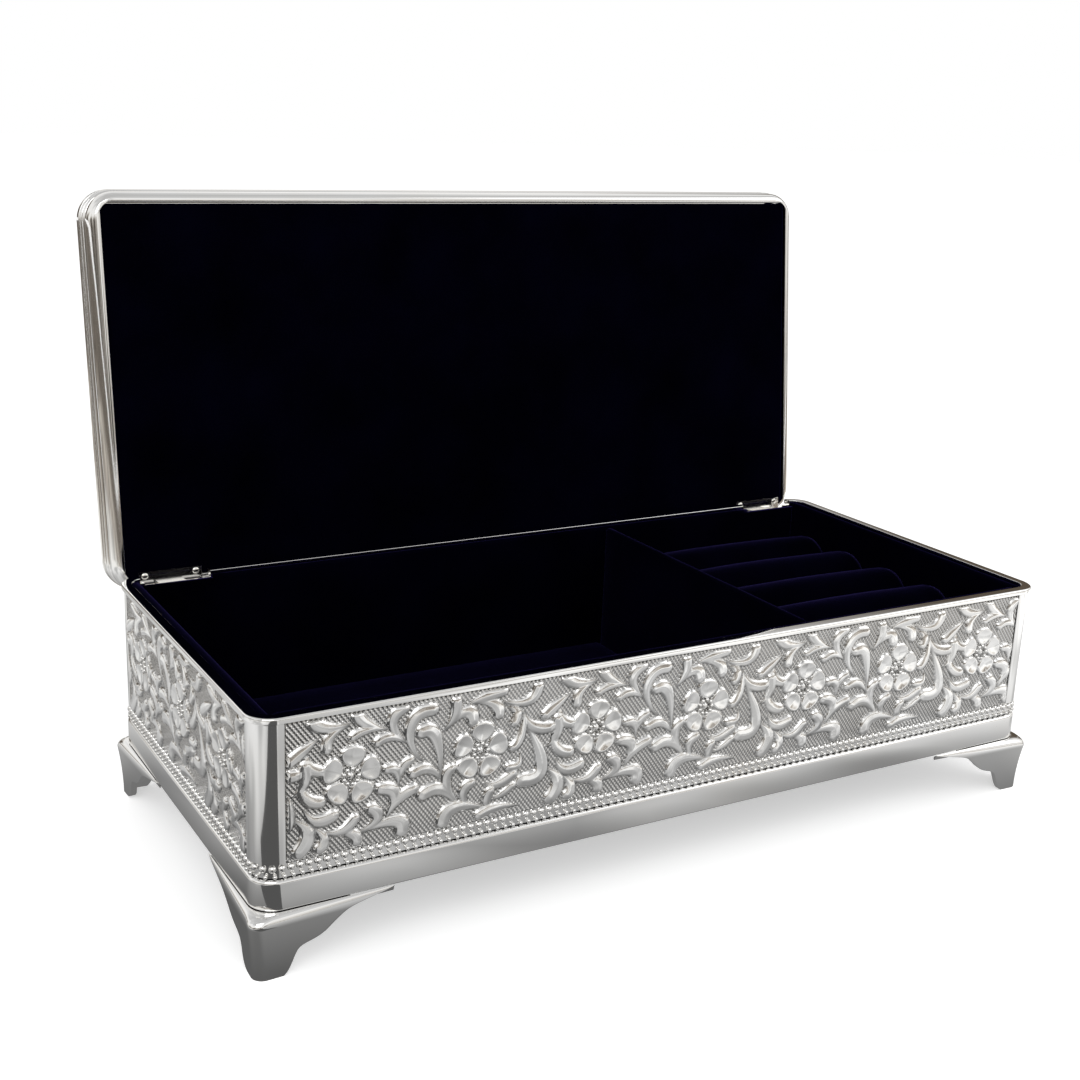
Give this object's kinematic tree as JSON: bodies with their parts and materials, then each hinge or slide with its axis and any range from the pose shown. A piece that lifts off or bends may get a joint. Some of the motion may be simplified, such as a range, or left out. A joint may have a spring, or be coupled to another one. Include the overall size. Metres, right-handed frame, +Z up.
{
  "type": "jewellery box",
  "caption": "Oblong footed jewellery box with embossed silver walls, a hinged lid standing open, velvet linings, a divider and padded ring rolls.",
  "frame": {"origin": "on the surface that the feet stand on, under the middle of the open box's bounding box", "axes": "+X along the length towards the ring rolls, +Y towards the hinges and the open lid, +Z up"},
  "size_m": [0.2534, 0.1468, 0.1736],
  "materials": {
    "silver_plate": "bright silver plate over cast and pressed metal, polished",
    "embossed_silver": "silver plate on pressed sheet, embossed with flowers and leaf scrolls on a fine lined ground",
    "hinge_metal": "plated steel, bright with a warm tint",
    "velvet": "short-pile velvet, very dark navy blue, with a paler sheen on rounded edges",
    "base_cloth": "matt black flocked cloth over board",
    "lid_card": "grey-brown pressed card"
  },
  "bodies": {
    "root": {"case_shell": "silver_plate", "front_panel": "embossed_silver", "rear_panel": "embossed_silver", "left_panel": "embossed_silver", "right_panel": "embossed_silver", "beaded_border": "silver_plate", "base_band": "silver_plate", "base_plate": "base_cloth", "foot_front_left": "silver_plate", "foot_front_right": "silver_plate", "foot_rear_right": "silver_plate", "foot_rear_left": "silver_plate", "front_liner": "velvet", "rear_liner": "velvet", "left_liner": "velvet", "right_liner": "velvet", "divider": "velvet", "floor_pad": "velvet", "ring_bed": "velvet", "ring_roll_1": "velvet", "ring_roll_2": "velvet", "ring_roll_3": "velvet", "ring_roll_4": "velvet", "ring_roll_5": "velvet", "hinge_case_leaf_left": "hinge_metal", "hinge_pin_left": "hinge_metal", "hinge_case_leaf_right": "hinge_metal", "hinge_pin_right": "hinge_metal"},
    "lid": {"lid_frame": "silver_plate", "lid_bead_moulding": "silver_plate", "lid_top_plate": "embossed_silver", "lid_board": "lid_card", "lid_lining": "velvet", "hinge_lid_leaf_left": "hinge_metal", "hinge_lid_leaf_right": "hinge_metal"}
  },
  "joints": [
    {"name": "lid_hinge", "type": "hinge", "parent": "root", "child": "lid", "pos_m": [0, 0.04276, 0.0615], "axis": [1, 0, 0], "range_deg": [0, 96.6]}
  ]
}
